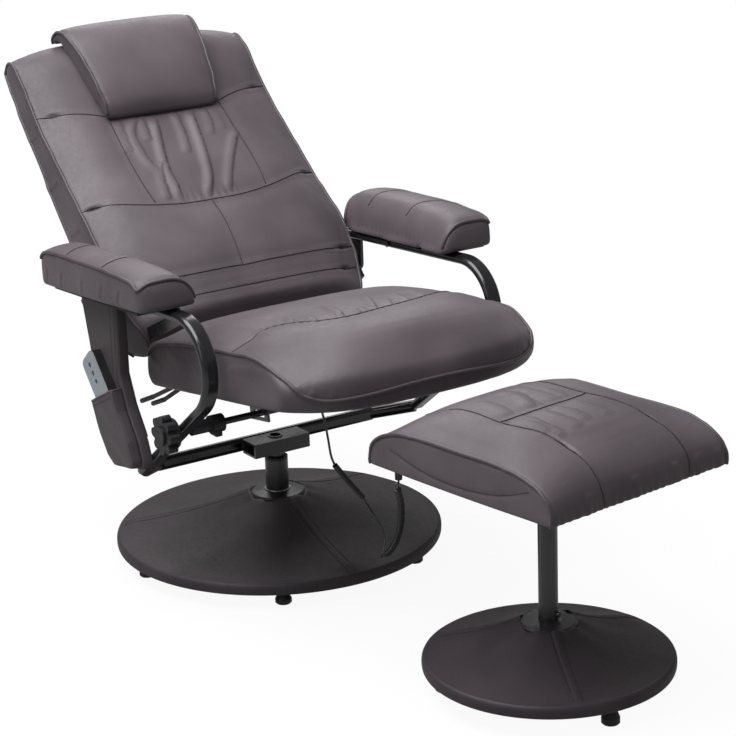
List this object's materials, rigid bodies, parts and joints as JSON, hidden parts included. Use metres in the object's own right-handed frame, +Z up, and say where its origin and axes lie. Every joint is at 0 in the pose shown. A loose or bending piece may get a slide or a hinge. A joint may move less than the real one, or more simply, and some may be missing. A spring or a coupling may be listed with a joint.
{
  "type": "reflexology chair",
  "caption": "Swivel recliner with a covered round base, bent side tubes, padded arms, a head pillow and a side pocket with a handset, and a free-standing padded ottoman.",
  "frame": {"origin": "on the floor, under the middle of the box round the chair and its ottoman", "axes": "+Z up; the chair faces -Y, with its ottoman in front of it; +X is towards the chair's right-hand side as seen from the front"},
  "size_m": [0.744, 1.5603, 0.9463],
  "materials": {
    "cushion_cover": "satin",
    "wrapped_cover": "satin",
    "board": "matte",
    "black_steel": "satin",
    "bright_steel": "satin",
    "black_plastic": "matte",
    "cord_sheath": "matte",
    "silver_plastic": "satin",
    "motor_case": "matte"
  },
  "bodies": {
    "base": {"base_board": "board", "base_spider": "black_steel", "base_cover": "wrapped_cover", "base_glides": "black_plastic", "column_sleeve": "black_steel", "column_bushes": "black_plastic", "thrust_bearing": "bright_steel", "hub_cap": "black_plastic", "retaining_ring": "bright_steel", "ottoman_base_board": "board", "ottoman_spider": "black_steel", "ottoman_base_cover": "wrapped_cover", "ottoman_glides": "black_plastic", "ottoman_post": "black_steel", "ottoman_hub_cap": "black_plastic", "ottoman_post_screw": "black_steel", "ottoman_top_plate": "black_steel", "ottoman_seat_board": "board", "ottoman_cushion": "cushion_cover", "ottoman_motors": "motor_case", "ottoman_cord_gland": "black_plastic", "lead_plug": "black_plastic", "ottoman_lead": "cord_sheath", "curly_cord": "cord_sheath"},
    "swivel_frame": {"swivel_shaft": "black_steel", "swivel_plate": "black_steel", "crossbar": "black_steel", "side_tube_left": "black_steel", "side_tube_right": "black_steel", "pivot_hangers": "black_steel", "side_panel": "wrapped_cover", "handset_pocket": "wrapped_cover", "arm_boards": "board", "arm_pad_left": "cushion_cover", "arm_pad_right": "cushion_cover", "left_stay": "black_steel", "frame_bolts": "black_steel", "pivot_bolts": "black_steel", "cross_rod": "black_steel", "rod_clamps": "black_plastic"},
    "backrest": {"back_board": "board", "back_brackets": "black_steel", "back_cushion": "cushion_cover", "head_pillow": "cushion_cover", "back_motors": "motor_case"},
    "seat": {"seat_board": "board", "seat_brackets": "black_steel", "seat_cushion": "cushion_cover", "seat_motors": "motor_case", "back_connectors": "black_plastic", "seat_cord_gland": "black_plastic", "seat_lead": "cord_sheath", "lead_socket": "black_plastic"},
    "knob_left": {"knob_left": "black_plastic"},
    "knob_right": {"knob_right": "black_plastic"},
    "handset": {"handset_body": "black_plastic", "handset_face": "silver_plastic"},
    "power_button": {"power_button": "silver_plastic"},
    "massage_button": {"massage_button": "silver_plastic"},
    "heat_button": {"heat_button": "silver_plastic"}
  },
  "joints": [
    {"name": "swivel", "type": "hinge", "parent": "base", "child": "swivel_frame", "pos_m": [0, 0.23961, 0], "axis": [0, 0, 1], "continuous": true},
    {"name": "recline", "type": "hinge", "parent": "swivel_frame", "child": "backrest", "pos_m": [0, 0.38761, 0.478], "axis": [-1, 0, 0], "range_deg": [-16, 7]},
    {"name": "seat_slide", "type": "slide", "parent": "swivel_frame", "child": "seat", "axis": [0, -0.989, 0.1478], "range_m": [-0.0145, 0.0065]},
    {"name": "knob_left_turn", "type": "hinge", "parent": "swivel_frame", "child": "knob_left", "pos_m": [-0.325, 0.0496, 0.345], "axis": [-1, 0, 0], "continuous": true},
    {"name": "knob_right_turn", "type": "hinge", "parent": "swivel_frame", "child": "knob_right", "pos_m": [0.325, 0.0496, 0.345], "axis": [1, 0, 0], "continuous": true},
    {"name": "handset_lift", "type": "slide", "parent": "swivel_frame", "child": "handset", "axis": [0, 0.6561, 0.7547], "range_m": [0, 0.1]},
    {"name": "power_button_press", "type": "slide", "parent": "handset", "child": "power_button", "axis": [1, 0, 0], "range_m": [0, 0.0008], "stiffness_N_per_m": 300, "springref_m": -0.0012},
    {"name": "massage_button_press", "type": "slide", "parent": "handset", "child": "massage_button", "axis": [1, 0, 0], "range_m": [0, 0.0008], "stiffness_N_per_m": 300, "springref_m": -0.0012},
    {"name": "heat_button_press", "type": "slide", "parent": "handset", "child": "heat_button", "axis": [1, 0, 0], "range_m": [0, 0.0008], "stiffness_N_per_m": 300, "springref_m": -0.0012}
  ],
  "couplings": [
    {"joint": "seat_slide", "follows": "recline", "m_per_rad": 0.05}
  ]
}
